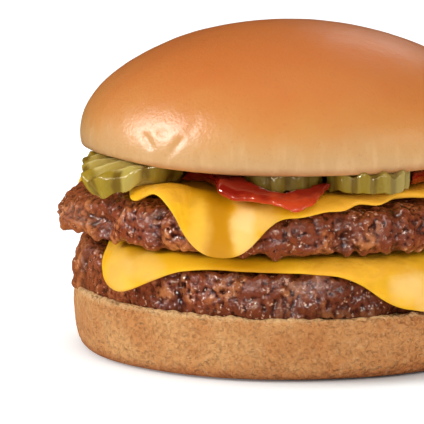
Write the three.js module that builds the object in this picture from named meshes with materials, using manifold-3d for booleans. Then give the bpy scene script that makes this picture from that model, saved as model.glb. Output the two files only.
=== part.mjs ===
// A double cheeseburger as it is served: heel, patty, cheese, patty, cheese, ketchup and pickles, crown.
// Millimetres, +Z up. The origin is the middle of the heel's flat base, and -Y is the front.
// An azimuth is in degrees, counter-clockwise seen from above: 0 is the right, -90 the front, 180 the left.
import * as THREE from "three";
import { mergeVertices } from "three/addons/utils/BufferGeometryUtils.js";
import Module from "manifold-3d";

const wasm = await Module();
wasm.setup();

// ---------------------------------------------------------------- Driving dimensions

const GAP = 0.3; // clear space between two layers that rest on each other

const HEEL = {
  height: 15.4,
  topRadius: 54.8,
  baseRadius: 53.5,
  baseRound: 3.2, // rounding of the crust where the side meets the base
  lipRound: 0.9, // torn lip of the cut face
  waves: [{ lobes: 3, depth: 0.5, phase: 40 }, { lobes: 7, depth: 0.22, phase: 10 }],
};

const PATTY_EDGE = 5.6; // how far in from the rim the rounded edge begins
const PATTY_SQUARENESS = { above: 0.86, below: 0.64 }; // 1 is an elliptic edge, smaller is squarer
const CRUMBS = [{ size: 9, depth: 2.1 }, { size: 5, depth: 1.1 }]; // relief of the minced meat
const DROOP = { from: 48, to: 54.5 }; // radii between which a stack's rim sinks

// A bulge or cleft is how far a rim stands out or is split near an azimuth, with its width in degrees.
// The droop is the same all round, and a sag is where one side hangs lower.
const LOWER_PATTY = {
  bottom: HEEL.height + GAP,
  thickness: 11.6,
  radius: 54,
  bulges: [
    { at: 184, out: 1.3, width: 15 },
    { at: -96, out: 0.5, width: 18 },
    { at: 62, out: 0.8, width: 20 },
  ],
  clefts: [
    { at: 176, deep: 1.4, width: 3 },
    { at: 159, deep: 2.2, width: 3.5 },
    { at: -122, deep: 1.2, width: 3 },
    { at: -20, deep: 2, width: 3.5 },
    { at: 92, deep: 1.8, width: 4 },
  ],
  droop: 0.6,
  sag: { at: 184, depth: 0.5, from: 50, to: 57, narrowness: 6 },
  seed: 5,
};

const SLICE_THICKNESS = 2.2;
const SHOULDER = 5; // bend radius of a slice where it folds over a patty's edge
const STEEPEST = THREE.MathUtils.degToRad(84); // a hanging corner stays a little off the vertical

// A run is how much further a melted edge has crept near an azimuth, and a fold how far it is lifted there,
// from a given distance along the slice outwards.
const LOWER_SLICE = {
  patty: LOWER_PATTY,
  halfSide: 47.2,
  squareness: 11, // exponent of the superellipse: 2 is a circle
  turnedBy: -7, // azimuth of one side's middle
  runs: [
    { at: -163, out: -4.5, width: 9 },
    { at: -151, out: -5.6, width: 7 },
    { at: -141, out: -2.2, width: 6 },
    { at: -106, out: 3.6, width: 20 },
    { at: -98, out: 1.8, width: 12 },
    { at: -82, out: 3.4, width: 14 },
    { at: -65, out: 4.4, width: 7 },
    { at: -52, out: 0.8, width: 9 },
    { at: 84, out: 3, width: 12 },
    { at: -7, out: 2.4, width: 10 },
  ],
  folds: [
    { at: -147, lift: 0.6, width: 5, from: 50 },
    { at: -132, lift: 0.9, width: 6, from: 50 },
    { at: -58, lift: 0.7, width: 5, from: 50 },
    { at: -44, lift: 0.9, width: 5, from: 50 },
    { at: 33, lift: 0.8, width: 5, from: 50 },
    { at: 45, lift: 0.8, width: 5, from: 50 },
    { at: 128, lift: 0.9, width: 6, from: 50 },
  ],
};

const UPPER_PATTY = {
  bottom: LOWER_PATTY.bottom + LOWER_PATTY.thickness + GAP + SLICE_THICKNESS + GAP,
  thickness: 12,
  radius: 53.6,
  bulges: [
    { at: 186, out: 5.2, width: 16 },
    { at: -133, out: 0.9, width: 11 },
    { at: -60, out: 0.7, width: 16 },
    { at: 35, out: 1.6, width: 20 },
    { at: 110, out: 0.8, width: 16 },
  ],
  clefts: [
    { at: -157, deep: 4.6, width: 4.5 },
    { at: -77, deep: 1.3, width: 3 },
    { at: -30, deep: 1.8, width: 3.5 },
    { at: 66, deep: 2.4, width: 4 },
    { at: 139, deep: 2, width: 3.5 },
  ],
  droop: 1.2,
  sag: { at: 186, depth: 2.2, from: 50, to: 58, narrowness: 6 },
  seed: 17,
};

const UPPER_SLICE = {
  patty: UPPER_PATTY,
  halfSide: 47.6,
  squareness: 12,
  turnedBy: -62,
  runs: [
    { at: 178, out: -4.5, width: 8 },
    { at: 168, out: -9, width: 9 },
    { at: -137, out: 4.1, width: 5 },
    { at: -121, out: -1, width: 3 },
    { at: -114, out: 2, width: 3.6 },
    { at: -108, out: -0.9, width: 3 },
    { at: -94.5, out: -3.1, width: 4 },
    { at: -85.5, out: 1.1, width: 4 },
    { at: -77, out: 3.4, width: 4 },
    { at: -66, out: 4.8, width: 4 },
    { at: -50, out: 2.2, width: 5 },
    { at: 25, out: 2, width: 9 },
    { at: 117, out: 2.6, width: 10 },
  ],
  folds: [
    { at: -127.5, lift: 3.4, width: 4, from: 46 },
    { at: -116.5, lift: 1.9, width: 5.5, from: 48 },
    { at: -100.5, lift: 1.9, width: 4.5, from: 49 },
    { at: -23, lift: 0.9, width: 5, from: 50 },
    { at: -10, lift: 0.8, width: 5, from: 50 },
    { at: 67, lift: 0.9, width: 5, from: 50 },
    { at: 80, lift: 0.8, width: 5, from: 50 },
    { at: 160, lift: 0.8, width: 5, from: 50 },
  ],
};

const UPPER_SLICE_TOP = UPPER_PATTY.bottom + UPPER_PATTY.thickness + GAP + SLICE_THICKNESS;

const KETCHUP = {
  reach: 46.5,
  edgeThickness: 3.8,
  middleThickness: 4.2,
  runs: [
    { at: -127, out: -8, width: 13 },
    { at: -108, out: 6.4, width: 7 },
    { at: -97, out: 5.2, width: 6 },
    { at: -87.2, out: 7.2, width: 5.6 },
    { at: -56, out: 3.2, width: 7 },
    { at: -28, out: -3, width: 14 },
    { at: 48, out: 3.4, width: 8 },
    { at: 78, out: 4.4, width: 6 },
    { at: 150, out: -4, width: 16 },
    { at: 176, out: -8, width: 22 },
  ],
  thins: [
    { at: -88, by: 2.8, width: 12 },
    { at: 78, by: 1.2, width: 12 },
  ],
  lifts: [{ at: -83, by: 1.2, width: 8 }],
};

const RIB = { pitch: 5, depth: 1.1 }; // the crinkle cut's zigzag
const CHIP_BASE = UPPER_SLICE_TOP + GAP;
const CHIP_BEND = { from: 50, to: 57 }; // where a chip droops past the edge of the stack

// x and y are a chip's middle, and rx and ry its half widths. taper is how far its lower face stays inside
// the upper one in x and in y, ribs the azimuth in which its waves follow each other, and droop how far the
// under and the upper face of its rim sink past the stack's edge.
const CHIPS = [
  {
    name: "pickle_left", x: -37.4, y: -21.6, rx: 14.9, ry: 14.4,
    thick: 5.2, taper: [5.2, 1.2], ribs: 82, droop: [5.7, 2.8],
  },
  {
    name: "pickle_front", x: -2.4, y: -38.5, rx: 9.6, ry: 12,
    thick: 4.6, taper: [0.6, 0.6], ribs: -10, droop: [1, 1],
  },
  {
    name: "pickle_front_right", x: 18, y: -38.4, rx: 10.1, ry: 11.2,
    thick: 4.7, taper: [0.5, 0.5], ribs: 6, droop: [1, 1],
  },
  {
    name: "pickle_back_right", x: 33, y: 21, rx: 13.4, ry: 12.6,
    thick: 4.6, taper: [1, 1], ribs: 100, droop: [1, 1],
  },
  {
    name: "pickle_back", x: -12, y: 38, rx: 13, ry: 12.4,
    thick: 4.6, taper: [1.4, 1.4], ribs: 30, droop: [1, 1],
  },
];

// The gherkin's own bumps, as a share of its radius, and the exponent of its superelliptic outline.
const CHIP_SIDES = { lobes: 7, depth: 0.03, squareness: 2.7 };

const CROWN = {
  radius: 52.6,
  rimRadius: 51.4,
  rimHeight: 49.7,
  widestHeight: 54.2,
  topHeight: 81,
  fullness: 1.88, // superellipse exponent of the dome, 2 is an ellipse
  hollow: 1.9, // how much higher the cut face is in the middle
  lift: { at: -152, by: 0.9, width: 24 }, // the rim rides up over the thick pickle
  waves: [{ lobes: 2, depth: 0.35, phase: 70 }, { lobes: 5, depth: 0.2, phase: 20 }],
};

// ---------------------------------------------------------------- Arithmetic

const rad = THREE.MathUtils.degToRad;
const mix = THREE.MathUtils.lerp;
const smooth = THREE.MathUtils.smoothstep;

// Difference of two azimuths, from -180 to 180.
const apart = (a, b) => THREE.MathUtils.euclideanModulo(a - b + 180, 360) - 180;

// 1 at the azimuth `at`, falling off on both sides over about `width` degrees.
const hump = (azimuth, at, width) => Math.exp(-((apart(azimuth, at) / width) ** 2));

const sumOf = (list, term) => list.reduce((total, item) => total + term(item), 0);

const ripple = (waves, azimuth) =>
  sumOf(waves, (w) => w.depth * Math.cos(rad(w.lobes * azimuth + w.phase)));

// A signed power, for superellipses.
const power = (value, exponent) => Math.sign(value) * Math.abs(value) ** exponent;

const polar = (azimuth, r, z) => new THREE.Vector3(r * Math.cos(rad(azimuth)), r * Math.sin(rad(azimuth)), z);

// A repeatable number from 0 to 1 for a cell of space: a hash that mixes its coordinates by large odd primes.
const PRIMES = [374761393, 668265263, 2246822519, 3266489917];
function scatter(...cell) {
  let hash = 0;
  cell.forEach((coordinate, axis) => (hash ^= Math.imul(coordinate, PRIMES[axis])));
  hash = Math.imul(hash ^ (hash >>> 15), PRIMES[2]);
  hash = Math.imul(hash ^ (hash >>> 13), PRIMES[3]);
  return ((hash ^ (hash >>> 16)) >>> 0) / 2 ** 32;
}

// How deep a point lies between crumbs of the given size: 0 on a crumb's crest, up to 1 in a crease.
function crease(point, size, seed) {
  const cell = [point.x / size, point.y / size, point.z / size];
  const [ci, cj, ck] = cell.map(Math.floor);
  let nearest = 9;
  for (let i = ci - 1; i <= ci + 1; i++)
    for (let j = cj - 1; j <= cj + 1; j++)
      for (let k = ck - 1; k <= ck + 1; k++) {
        const centre = [i, j, k].map((c, axis) => c + scatter(i, j, k, seed + axis));
        const away = sumOf(centre.map((c, axis) => (c - cell[axis]) ** 2), (d) => d);
        nearest = Math.min(nearest, away);
      }
  return Math.min(nearest, 1);
}

// ---------------------------------------------------------------- Making and joining solids

// A closed shell: a top pole, rings of points that all turn counter-clockwise, and a bottom pole.
function shell(topPole, rings, bottomPole) {
  const count = rings[0].length;
  const points = [topPole, ...rings.flat(), bottomPole];
  const at = (ring, step) => 1 + ring * count + (step % count);
  const last = points.length - 1;
  const faces = [];
  for (let step = 0; step < count; step++) {
    faces.push(0, at(0, step), at(0, step + 1));
    for (let ring = 0; ring < rings.length - 1; ring++) {
      const corners = [at(ring, step), at(ring + 1, step), at(ring + 1, step + 1), at(ring, step + 1)];
      faces.push(corners[0], corners[1], corners[2], corners[0], corners[2], corners[3]);
    }
    faces.push(last, at(rings.length - 1, step + 1), at(rings.length - 1, step));
  }
  const geometry = new THREE.BufferGeometry().setFromPoints(points);
  geometry.setIndex(faces);
  return geometry;
}

// One ring of `count` points, where place(azimuth) gives each point.
const ringOf = (count, place) => Array.from({ length: count }, (_, step) => place((step * 360) / count));

function solidOf(geometry) {
  geometry.deleteAttribute("normal");
  geometry.deleteAttribute("uv");
  const merged = mergeVertices(geometry, 1e-4);
  const mesh = new wasm.Mesh({
    numProp: 3,
    vertProperties: new Float32Array(merged.attributes.position.array),
    triVerts: new Uint32Array(merged.index.array),
  });
  return new wasm.Manifold(mesh);
}

// The solid's largest piece as a geometry, without the crumbs that a cut leaves.
function geometryOf(solid) {
  const pieces = solid.decompose().sort((a, b) => b.volume() - a.volume());
  const mesh = pieces[0].getMesh();
  const geometry = new THREE.BufferGeometry();
  geometry.setAttribute("position", new THREE.BufferAttribute(mesh.vertProperties, 3));
  geometry.setIndex(new THREE.BufferAttribute(mesh.triVerts, 1));
  return geometry;
}

// ---------------------------------------------------------------- Buns

function heelGeometry() {
  const { height, topRadius, baseRadius, baseRound, lipRound, waves } = HEEL;
  const count = 48;
  const wall = (azimuth, z) =>
    mix(baseRadius, topRadius, smooth(z, 0, height)) + ripple(waves, azimuth);
  const rings = [
    ringOf(count, (a) => polar(a, 0.62 * wall(a, height), height)),
    ringOf(count, (a) => polar(a, wall(a, height) - lipRound, height)),
    ringOf(count, (a) => polar(a, wall(a, height), height - lipRound)),
    ringOf(count, (a) => polar(a, wall(a, height) - 0.1, 0.55 * height)),
    ringOf(count, (a) => polar(a, wall(a, baseRound), baseRound)),
  ];
  for (const turn of [30, 60, 90]) {
    const inwards = baseRound * (1 - Math.cos(rad(turn)));
    const z = baseRound * (1 - Math.sin(rad(turn)));
    rings.push(ringOf(count, (a) => polar(a, wall(a, baseRound) - inwards, z)));
  }
  return shell(new THREE.Vector3(0, 0, height), rings, new THREE.Vector3(0, 0, 0));
}

function crownGeometry() {
  const { radius, rimRadius, rimHeight, widestHeight, topHeight, fullness, hollow, lift, waves } = CROWN;
  const count = 56;
  const dome = topHeight - widestHeight;
  const rim = (azimuth) => rimHeight + lift.by * hump(azimuth, lift.at, lift.width);
  const rings = [];
  for (const turn of [79, 67, 55, 44, 33, 22, 11, 0]) {
    const out = power(Math.cos(rad(turn)), 2 / fullness);
    const up = power(Math.sin(rad(turn)), 2 / fullness);
    rings.push(ringOf(count, (a) => polar(a, out * (radius + ripple(waves, a)), widestHeight + dome * up)));
  }
  const under = (azimuth, r) => rim(azimuth) + hollow * (1 - (r / rimRadius) ** 2);
  // The rounded lower edge: up is a share of the height from the rim to the widest part.
  const turnedIn = [
    { r: radius - 0.2, up: 0.45 },
    { r: rimRadius + 0.7, up: 0.1 },
    { r: rimRadius - 0.6, up: 0 },
  ];
  for (const { r, up } of turnedIn)
    rings.push(ringOf(count, (a) => polar(a, r + ripple(waves, a), mix(rim(a), widestHeight, up))));
  rings.push(ringOf(count, (a) => polar(a, 0.65 * rimRadius, under(a, 0.65 * rimRadius))));
  return shell(new THREE.Vector3(0, 0, topHeight), rings, new THREE.Vector3(0, 0, rimHeight + hollow));
}

// ---------------------------------------------------------------- Patties

const pattyRadius = (patty, azimuth) =>
  patty.radius + sumOf(patty.bulges, (b) => b.out * hump(azimuth, b.at, b.width));

// How far a patty, and what lies on it, droops at a point.
function sagOf({ droop, sag }, azimuth, r) {
  const facing = Math.max(0, Math.cos(rad(azimuth - sag.at)));
  const hanging = sag.depth * facing ** sag.narrowness * smooth(r, sag.from, sag.to);
  return droop * smooth(r, DROOP.from, DROOP.to) + hanging;
}

const cleftDepth = (patty, azimuth) => sumOf(patty.clefts, (c) => c.deep * hump(azimuth, c.at, c.width));

// The crumbly solid stays inside a smooth envelope, so that what lies on it clears it everywhere.
function pattyGeometry(patty) {
  const count = 80;
  const half = patty.thickness / 2;
  const middle = patty.bottom + half;

  const crumbs = (point, share) =>
    share * sumOf(CRUMBS, ({ size, depth }) => depth * crease(point, size, patty.seed + size));

  const flat = (side, share) =>
    ringOf(count, (a) => {
      const r = share * (pattyRadius(patty, a) - PATTY_EDGE);
      const point = polar(a, r, middle + side * half - sagOf(patty, a, r));
      point.z -= side * crumbs(point, 0.25);
      return point;
    });

  const edge = (turn) =>
    ringOf(count, (a) => {
      const squareness = turn > 0 ? PATTY_SQUARENESS.above : PATTY_SQUARENESS.below;
      const out = power(Math.cos(rad(turn)), squareness);
      const up = power(Math.sin(rad(turn)), squareness);
      const r = pattyRadius(patty, a) - PATTY_EDGE * (1 - out);
      const point = polar(a, r, middle + half * up - sagOf(patty, a, r));
      const inwards = crumbs(point, mix(0.2, 1, Math.cos(rad(turn)))) + cleftDepth(patty, a) * out;
      const normal = polar(a, Math.cos(rad(turn)), Math.sin(rad(turn)));
      return point.addScaledVector(normal, -inwards);
    });

  const rings = [flat(1, 0.6), flat(1, 0.92)];
  for (const turn of [66, 48, 32, 16, 0, -16, -32, -50, -68]) rings.push(edge(turn));
  rings.push(flat(-1, 0.92));
  const pole = (side) => new THREE.Vector3(0, 0, middle + side * half);
  return shell(pole(1), rings, pole(-1));
}

// ---------------------------------------------------------------- Cheese slices

// A sheet laid over a patty: reach is a point's distance from the axis along the sheet, and lift its height
// above the patty's smooth envelope.
function drape(patty, azimuth, reach, lift) {
  const top = patty.bottom + patty.thickness;
  const bendAt = pattyRadius(patty, azimuth) - SHOULDER;
  const turn = THREE.MathUtils.clamp((reach - bendAt) / SHOULDER, 0, STEEPEST);
  const straight = reach - bendAt - turn * SHOULDER;
  const r = bendAt + (SHOULDER + lift) * Math.sin(turn) + straight * Math.cos(turn);
  const z = top - SHOULDER + (SHOULDER + lift) * Math.cos(turn) - Math.max(straight, 0) * Math.sin(turn);
  return polar(azimuth, r, z - sagOf(patty, azimuth, r));
}

const runOf = (runs, azimuth) => sumOf(runs, (run) => run.out * hump(azimuth, run.at, run.width));

// Distance from the slice's middle to its edge: a square with melted corners.
function sliceReach(slice, azimuth) {
  const turned = rad(azimuth - slice.turnedBy);
  const side =
    (Math.abs(Math.cos(turned)) ** slice.squareness + Math.abs(Math.sin(turned)) ** slice.squareness) **
    (-1 / slice.squareness);
  return slice.halfSide * side + runOf(slice.runs, azimuth);
}

const foldLift = (slice, azimuth, reach) =>
  sumOf(slice.folds, (f) => f.lift * hump(azimuth, f.at, f.width) * smooth(reach, f.from, f.from + 8));

// A melted sheet over a patty, with a rounded edge. under(azimuth, reach) is its underside's height above
// the patty, and over(azimuth, reach) its thickness. Stations run from 0 in the middle over 1 at the bend to
// 2 at the edge.
function sheetGeometry(patty, { sectors, topStations, underStations }, reachOf, under, over) {
  const place = (station, side) =>
    ringOf(sectors, (a) => {
      const edge = reachOf(a);
      const bend = Math.min(pattyRadius(patty, a) - SHOULDER, 0.86 * edge);
      const reach = station < 1 ? station * bend : mix(bend, edge, station - 1);
      const thick = over(a, reach);
      const rounding = Math.min((edge - reach) / (0.5 * thick), 1);
      const round = Math.sqrt(1 - (1 - rounding) ** 2);
      return drape(patty, a, reach, under(a, reach) + thick * (0.5 + 0.5 * side * round));
    });
  const rings = topStations.map((station) => place(station, 1));
  rings.push(...underStations.map((station) => place(station, -1)));
  const pole = (side) => drape(patty, 0, 0, under(0, 0) + (side > 0 ? over(0, 0) : 0));
  return shell(pole(1), rings, pole(-1));
}

const SLICE_MESH = {
  sectors: 80,
  topStations: [0.7, 1, 1.22, 1.44, 1.7, 1.93, 2],
  underStations: [1.9, 1.6, 1.36, 1.16, 0.96],
};

// The underside stands a little further off the patty where it bends.
const underSlice = (slice, azimuth, reach) =>
  GAP * (1 + smooth(reach, 44, 50)) + foldLift(slice, azimuth, reach);

const sliceGeometry = (slice) =>
  sheetGeometry(
    slice.patty,
    SLICE_MESH,
    (a) => sliceReach(slice, a),
    (a, reach) => underSlice(slice, a, reach),
    (a, reach) => SLICE_THICKNESS - GAP * smooth(reach, 44, 50),
  );

// ---------------------------------------------------------------- Pickles

// The chip's skin: a lobed piece of gherkin, standing on z = 0, that gets smaller towards its lower face.
function chipSkin(chip, low, high, grow) {
  const { lobes, depth, squareness } = CHIP_SIDES;
  const lobe = (azimuth) => 1 + depth * Math.cos(rad(lobes * azimuth));
  const ringAt = (z) =>
    ringOf(18, (a) => {
      const lower = (1 - THREE.MathUtils.clamp(z / chip.thick, 0, 1)) ** 1.2;
      const [rx, ry] = [chip.rx - lower * chip.taper[0], chip.ry - lower * chip.taper[1]];
      const x = (rx * lobe(a) + grow) * power(Math.cos(rad(a)), 2 / squareness);
      const y = (ry * lobe(a) + grow) * power(Math.sin(rad(a)), 2 / squareness);
      return new THREE.Vector3(x, y, z);
    });
  const rings = [high, mix(low, high, 0.5), low].map(ringAt);
  return shell(new THREE.Vector3(0, 0, high), rings, new THREE.Vector3(0, 0, low));
}

// What is left between the knife's two zigzag cuts.
function crinkleSlab(chip) {
  const length = 2 * Math.max(chip.rx, chip.ry) + RIB.pitch;
  const half = Math.ceil(length / RIB.pitch);
  const lower = [];
  const upper = [];
  for (let i = -half; i <= half; i++) {
    const wave = i % 2 ? RIB.depth : 0;
    lower.push(new THREE.Vector2((i * RIB.pitch) / 2, wave));
    upper.unshift(new THREE.Vector2((i * RIB.pitch) / 2, chip.thick - RIB.depth + wave));
  }
  const band = new THREE.Shape([...lower, ...upper]);
  const slab = new THREE.ExtrudeGeometry(band, { depth: length, steps: 5, bevelEnabled: false });
  return slab
    .translate(0, 0, -length / 2)
    .rotateX(Math.PI / 2)
    .rotateZ(rad(chip.ribs));
}

// Sets a chip down in its place, and lets it droop past the edge of the stack.
function placeChip(chip, geometry) {
  geometry.translate(chip.x, chip.y, CHIP_BASE);
  const position = geometry.attributes.position;
  for (let i = 0; i < position.count; i++) {
    const past = Math.hypot(position.getX(i), position.getY(i)) - CHIP_BEND.from;
    const bend = (Math.max(past, 0) / (CHIP_BEND.to - CHIP_BEND.from)) ** 1.4;
    const height = (position.getZ(i) - CHIP_BASE) / chip.thick;
    position.setZ(i, position.getZ(i) - mix(...chip.droop, height) * bend);
  }
  return geometry;
}

function chipGeometry(chip) {
  const skin = solidOf(chipSkin(chip, -1, chip.thick + 1, 0));
  return placeChip(chip, geometryOf(skin.intersect(solidOf(crinkleSlab(chip)))));
}

// The plain shape, a little larger than a chip, that the ketchup round it is cut with.
const chipCutter = (chip) => solidOf(placeChip(chip, chipSkin(chip, -2 * GAP, chip.thick + GAP, 2 * GAP)));

// ---------------------------------------------------------------- Ketchup

const KETCHUP_MESH = {
  sectors: 72,
  topStations: [0.8, 1.4, 1.8, 1.95, 2],
  underStations: [1.85, 1.4, 0.8],
};

const edgeThickness = (azimuth) =>
  KETCHUP.edgeThickness - sumOf(KETCHUP.thins, (thin) => thin.by * hump(azimuth, thin.at, thin.width));

// How much further off the slice the ketchup stands where the slice bends and folds.
const underKetchup = (azimuth, reach) =>
  (3.2 * GAP + sumOf(KETCHUP.lifts, (l) => l.by * hump(azimuth, l.at, l.width))) * smooth(reach, 45, 49) +
  1.2 * foldLift(UPPER_SLICE, azimuth, reach);

const ketchupGeometry = () =>
  sheetGeometry(
    UPPER_PATTY,
    KETCHUP_MESH,
    (a) => KETCHUP.reach + runOf(KETCHUP.runs, a),
    (a, reach) => SLICE_THICKNESS + 2 * GAP + underKetchup(a, reach),
    (a, reach) => mix(KETCHUP.middleThickness, edgeThickness(a), smooth(reach, 20, 46)),
  );

// ---------------------------------------------------------------- The stack

const FINISH = {
  crown: { color: 0xc97a3a, roughness: 0.42 },
  heel: { color: 0xc9925a, roughness: 0.85 },
  patty: { color: 0x5b3024, roughness: 0.5 },
  cheese: { color: 0xf3b61f, roughness: 0.35 },
  ketchup: { color: 0xa81c10, roughness: 0.15 },
  pickle: { color: 0x7c8030, roughness: 0.3 },
};

const burger = new THREE.Group();

function layer(name, geometry, finish) {
  geometry.computeVertexNormals();
  const mesh = new THREE.Mesh(geometry, new THREE.MeshStandardMaterial({ metalness: 0, ...finish }));
  mesh.name = name;
  burger.add(mesh);
}

layer("bun_heel", heelGeometry(), FINISH.heel);
layer("patty_lower", pattyGeometry(LOWER_PATTY), FINISH.patty);
layer("cheese_lower", sliceGeometry(LOWER_SLICE), FINISH.cheese);
layer("patty_upper", pattyGeometry(UPPER_PATTY), FINISH.patty);
layer("cheese_upper", sliceGeometry(UPPER_SLICE), FINISH.cheese);

let ketchup = solidOf(ketchupGeometry());
for (const chip of CHIPS) {
  ketchup = ketchup.subtract(chipCutter(chip));
  layer(chip.name, chipGeometry(chip), FINISH.pickle);
}
layer("ketchup", geometryOf(ketchup), FINISH.ketchup);
layer("bun_crown", crownGeometry(), FINISH.crown);

export default burger;
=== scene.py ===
"""Detailed pieces, finishes and a small studio for a double cheeseburger."""

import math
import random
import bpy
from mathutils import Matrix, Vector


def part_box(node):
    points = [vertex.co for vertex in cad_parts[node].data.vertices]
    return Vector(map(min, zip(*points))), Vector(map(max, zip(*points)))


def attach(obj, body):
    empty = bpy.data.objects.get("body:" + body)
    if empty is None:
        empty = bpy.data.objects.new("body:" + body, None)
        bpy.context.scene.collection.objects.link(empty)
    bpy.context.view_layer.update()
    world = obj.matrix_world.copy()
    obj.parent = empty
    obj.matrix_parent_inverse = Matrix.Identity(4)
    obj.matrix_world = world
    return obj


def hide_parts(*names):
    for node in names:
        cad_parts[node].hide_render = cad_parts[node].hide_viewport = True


bl_info = {
    "name": "Double Cheeseburger",
    "version": (1, 0, 0),
    "blender": (4, 5, 0),
    "location": "3D View > Sidebar > Burger",
    "description": "Buns, patties, cheese, ketchup and pickles, modelled round a fixed frame",
    "category": "Object",
}

import bpy
from bpy.props import FloatProperty, FloatVectorProperty, IntProperty, PointerProperty
from mathutils import Vector

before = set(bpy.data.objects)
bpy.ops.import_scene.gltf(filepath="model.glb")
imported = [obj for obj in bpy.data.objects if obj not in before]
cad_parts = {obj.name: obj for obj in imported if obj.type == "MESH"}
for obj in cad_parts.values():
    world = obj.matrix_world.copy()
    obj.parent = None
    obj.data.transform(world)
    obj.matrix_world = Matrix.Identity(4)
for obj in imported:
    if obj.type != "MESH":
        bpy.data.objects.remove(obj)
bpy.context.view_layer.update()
MM = 0.001
MERGE_DISTANCE = 0.005 * MM
KEPT_FACES = 0.6  # share that is left of a piece with a hidden middle


# ---------------------------------------------------------------- Sizes and colours


def tone(code):
    """A colour's linear values from its usual hexadecimal code."""
    channels = [(code >> shift & 255) / 255 for shift in (16, 8, 0)]
    return [c / 12.92 if c <= 0.04045 else ((c + 0.055) / 1.055) ** 2.4 for c in channels]


def colour(name, code, description):
    return FloatVectorProperty(
        name=name, description=description, default=tone(code), subtype="COLOR", min=0, max=1
    )


def length(name, millimetres, description):
    return FloatProperty(
        name=name, description=description, default=millimetres * MM, unit="LENGTH", precision=5
    )


class BunSettings(bpy.types.PropertyGroup):
    """Shape and crust of the crown and the heel"""

    grain: length("Grain", 0.7, "Edge length of the bun's faces")
    swell: length("Swell", 0.5, "Height of the crust's slow rises and hollows")
    dent: length("Dent", 0.45, "Depth of the small dents and creases in the crown")
    sag: length("Sag", 0.4, "How far the crown's rim sinks onto the filling")
    pore: length("Pore", 0.7, "Depth of the heel's coarse pores")
    tear: length("Tear", 1.3, "Height of the torn crumb along the heel's upper edge")
    top: colour("Top", 0xD07430, "Crust where the oven has browned it most")
    side: colour("Side", 0xD29044, "Golden crust of the flanks")
    rim: colour("Rim", 0xCC9E66, "Pale crust round the lower edge")
    streak: colour("Streak", 0xEBC08C, "Pale streaks down the rim")
    freckle: colour("Freckle", 0xB05C24, "Fine freckles on the crown")
    edge: colour("Edge", 0xAC6028, "Toasted line along the crown's lower edge")
    heel_crust: colour("Heel", 0xCE965E, "Crust of the heel")
    heel_dark: colour("Heel base", 0xA05A2C, "Darker crust near the heel's base")
    heel_cloud: colour("Heel cloud", 0xB87038, "Slow clouds in the heel's crust")
    # Painted shade: the heel's right side, away from the key light, is darker.
    heel_right: colour("Heel right", 0xB0642E, "Browner crust on the heel's right")
    # Painted shade in the bottoms of the heel's pores.
    pit: colour("Pit", 0xA0602E, "Bottoms of the heel's pores")
    flour: colour("Flour", 0xE6BE8C, "Flour on the heel")
    lip: colour("Lip", 0xE2BA86, "Torn crumb of the heel's upper edge")


class MeatSettings(bpy.types.PropertyGroup):
    """Minced meat of the patties"""

    grain: length("Grain", 0.4, "Edge length of the meat's faces")
    strand: length("Strand", 1.9, "Thickness of one strand of mince")
    strands: IntProperty(name="Strands", description="Strands on each patty", default=2000, min=0)
    seed: IntProperty(name="Seed", description="Order of the strands", default=3)
    inset: length("Inset", 0.3, "How far the disc is drawn in before the mince goes on")
    lump: length("Lump", 1.8, "Height of the patties' lumps")
    crumb: length("Crumb", 0.3, "Height of the crumbs on the strands")
    settle: length("Settle", 1.7, "How far the lower patty's rim sinks onto the heel")
    shoulder: length("Shoulder", 1.2, "How far the lower patty's upper edge rises on the left")
    lobe: length("Lobe", 1.6, "How far the lobe's underside on the upper patty's left is raised")
    # Browned tops, which also carry painted light on the strands and on the patties' left.
    crest: colour("Crest", 0xBC7444, "Browned tops of the strands")
    body: colour("Body", 0x843F24, "Meat between crest and crease")
    # Painted shade: in the creases, in the clefts, low on the patties and on their right.
    crease: colour("Crease", 0x34140C, "Dark creases between the strands")
    # Specks of fat, which also serve as painted glints.
    fat: colour("Fat", 0xE4B08C, "Specks of fat")


class CheeseSettings(bpy.types.PropertyGroup):
    """Melted slices"""

    ripple: length("Ripple", 0.4, "Height of the slow ripples in the melted sheet")
    curl: length("Curl", 1.4, "How far the upper slice rides up in front of the left pickle")
    body: colour("Body", 0xF0B41C, "Cheese")
    # Also painted shade on the slices.
    deep: colour("Deep", 0xC48402, "Cheese where it is stretched thin")
    # Painted highlights on the slices.
    pale: colour("Pale", 0xF8CE84, "Cheese where fat has whitened it")
    # Juices on the cheese; the lighter colour is painted light where it lies under the crown and
    # the meat.
    oily: colour("Oily", 0xFFB848, "Cheese under the meat's juices")


class SauceSettings(bpy.types.PropertyGroup):
    """Ketchup"""

    grain: length("Grain", 0.6, "Edge length of the sauce's faces")
    lump: length("Lump", 0.4, "Height of the sauce's lumps")
    body: colour("Body", 0x7E160A, "Ketchup")
    # Lighter low down where the sauce is thin; the darker upper part is painted shadow under the
    # crown.
    light: colour("Light", 0xCC4820, "Ketchup where it is thin")


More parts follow.
